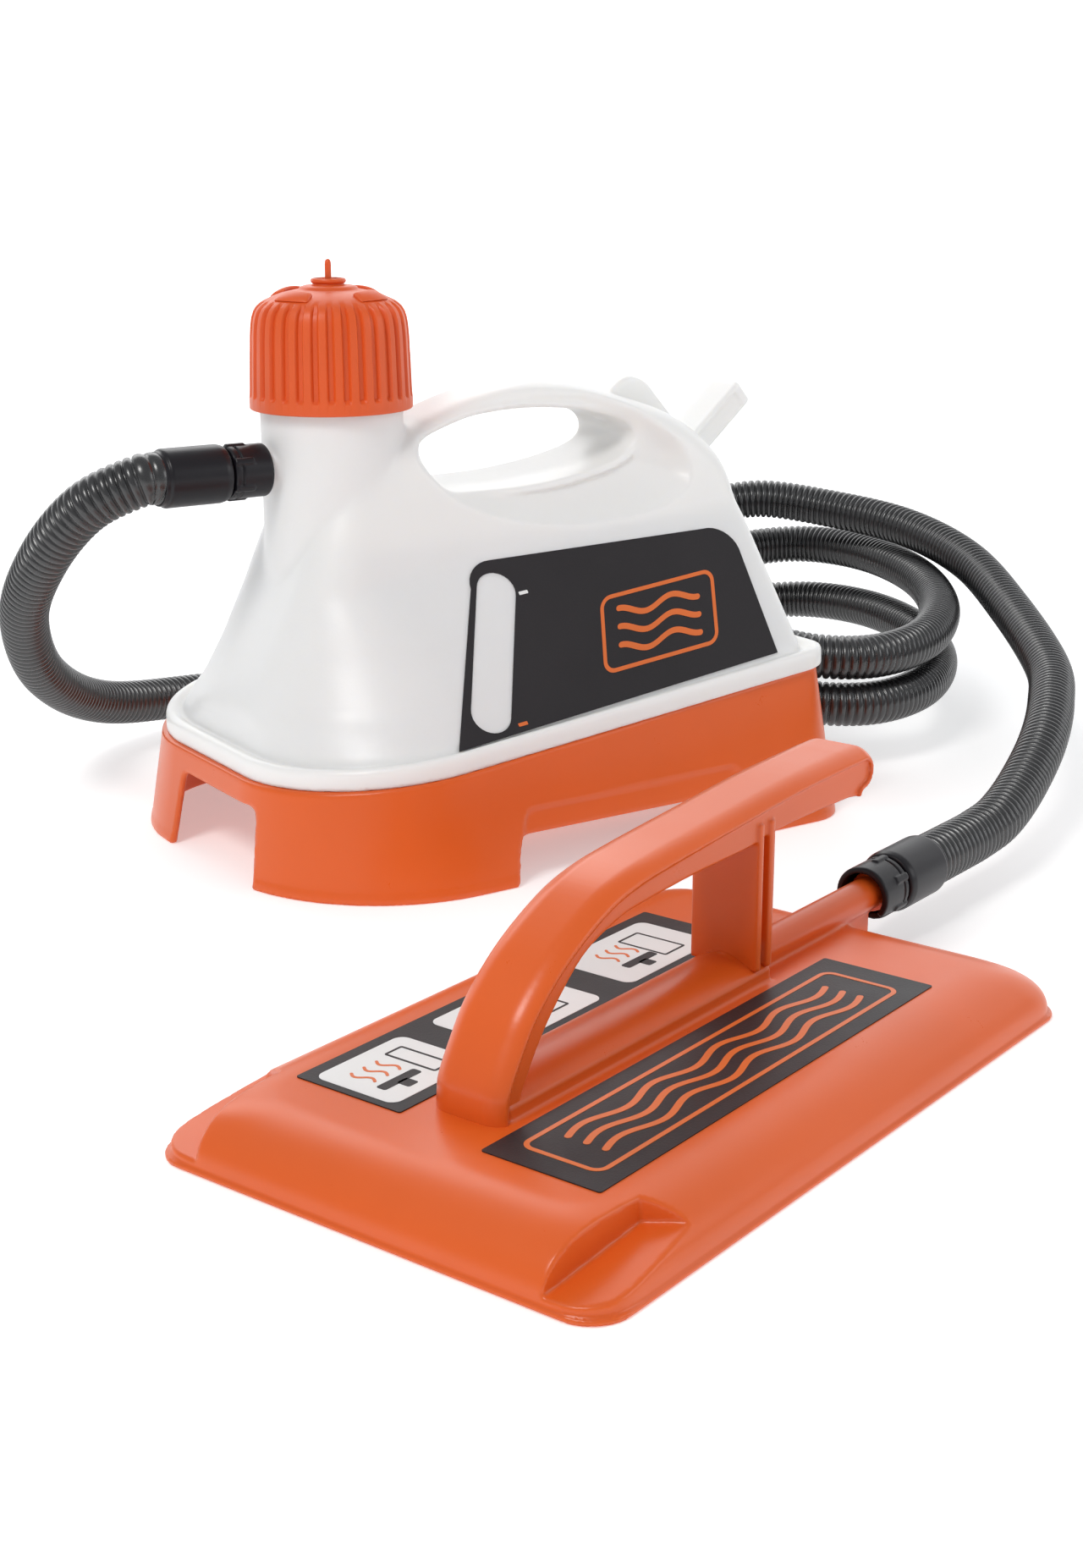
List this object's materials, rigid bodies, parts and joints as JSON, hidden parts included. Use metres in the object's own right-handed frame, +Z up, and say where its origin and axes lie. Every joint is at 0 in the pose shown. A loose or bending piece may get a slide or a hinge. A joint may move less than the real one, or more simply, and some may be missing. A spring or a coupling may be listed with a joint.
{
  "type": "wallpaper steamer",
  "caption": "Wallpaper steamer: wedge base with a translucent water tank, screw filler cap, corrugated steam hose and a flat hand-held steam plate with a handle.",
  "frame": {"origin": "middle of the floor area that the whole object covers, at floor level", "axes": "+X from the tank's filler neck towards its rear, +Y across the tank away from the side with the level label, +Z up from the floor"},
  "size_m": [0.6442, 0.734, 0.256],
  "materials": {
    "tank_plastic": "satin",
    "orange_plastic": "satin",
    "label_print": "satin",
    "hose_black": "semi-gloss",
    "cuff_black": "satin",
    "rubber_seal": "matte",
    "cable_black": "satin",
    "steel": "brushed",
    "alloy": "satin",
    "brass_pins": "polished",
    "ceramic": "matte",
    "wire_brown": "gloss",
    "wire_blue": "gloss",
    "wire_green": "gloss"
  },
  "bodies": {
    "tank_unit": {"tank_body": "tank_plastic", "tank_label": "label_print", "base_housing": "orange_plastic", "base_cover": "orange_plastic", "base_screws": "steel", "cover_screws": "steel", "heater_plate": "steel", "heater_gasket": "rubber_seal", "heater_element": "steel", "heater_screws": "steel", "thermostat": "ceramic", "thermostat_bracket": "steel", "thermal_fuse": "ceramic", "terminal_block": "ceramic", "live_wire": "wire_brown", "neutral_wire": "wire_blue", "earth_wire": "wire_green", "cord_grip": "cable_black", "mains_cable": "cable_black", "plug_body": "cable_black", "plug_pins": "brass_pins", "tank_cuff": "cuff_black", "tank_hose_tail": "cuff_black", "tank_hose_seal": "rubber_seal", "steam_hose": "hose_black"},
    "seal_ring": {"cap_seal": "rubber_seal"},
    "cap": {"filler_cap": "orange_plastic", "valve_spring": "steel", "valve_retainer": "cuff_black"},
    "relief_valve": {"valve_pin": "orange_plastic"},
    "tank_nut_ring": {"tank_nut": "cuff_black"},
    "hose_end": {"plate_cuff": "cuff_black", "plate_hose_tail": "cuff_black", "plate_hose_seal": "rubber_seal", "steam_hose_lead": "hose_black"},
    "plate_unit": {"steam_plate": "orange_plastic", "plate_handle": "orange_plastic", "handle_screws": "steel", "plate_baffle": "alloy", "baffle_screws": "steel", "plate_label": "label_print", "pictogram_label": "label_print"},
    "plate_nut_ring": {"plate_nut": "cuff_black"}
  },
  "joints": [
    {"name": "cap_lift", "type": "slide", "parent": "tank_unit", "child": "seal_ring", "axis": [0, 0, 1], "range_m": [0, 0.0201]},
    {"name": "cap_turn", "type": "hinge", "parent": "seal_ring", "child": "cap", "pos_m": [-0.11297, 0.05657, 0.215], "axis": [0, 0, 1], "range_deg": [0, 900]},
    {"name": "valve_pop", "type": "slide", "parent": "cap", "child": "relief_valve", "axis": [0, 0, 1], "range_m": [0, 0.003], "stiffness_N_per_m": 400, "deforming": ["valve_spring"]},
    {"name": "tank_nut_turn", "type": "hinge", "parent": "tank_unit", "child": "tank_nut_ring", "pos_m": [-0.15297, 0.05657, 0.169], "axis": [-1, 0, 0], "range_deg": [-60, 0]},
    {"name": "plate_lift", "type": "slide", "parent": "tank_unit", "child": "hose_end", "axis": [0, 0, 1], "range_m": [0, 0.15]},
    {"name": "plate_swivel", "type": "hinge", "parent": "hose_end", "child": "plate_unit", "pos_m": [-0.0188, -0.19258, 0.024], "axis": [0.9478, 0.319, 0], "range_deg": [-90, 90]},
    {"name": "plate_nut_turn", "type": "hinge", "parent": "plate_unit", "child": "plate_nut_ring", "pos_m": [-0.01407, -0.19099, 0.024], "axis": [0.9478, 0.319, 0], "range_deg": [-20, 30]}
  ],
  "couplings": [
    {"joint": "cap_lift", "follows": "cap_turn", "m_per_rad": 0.0012732}
  ]
}
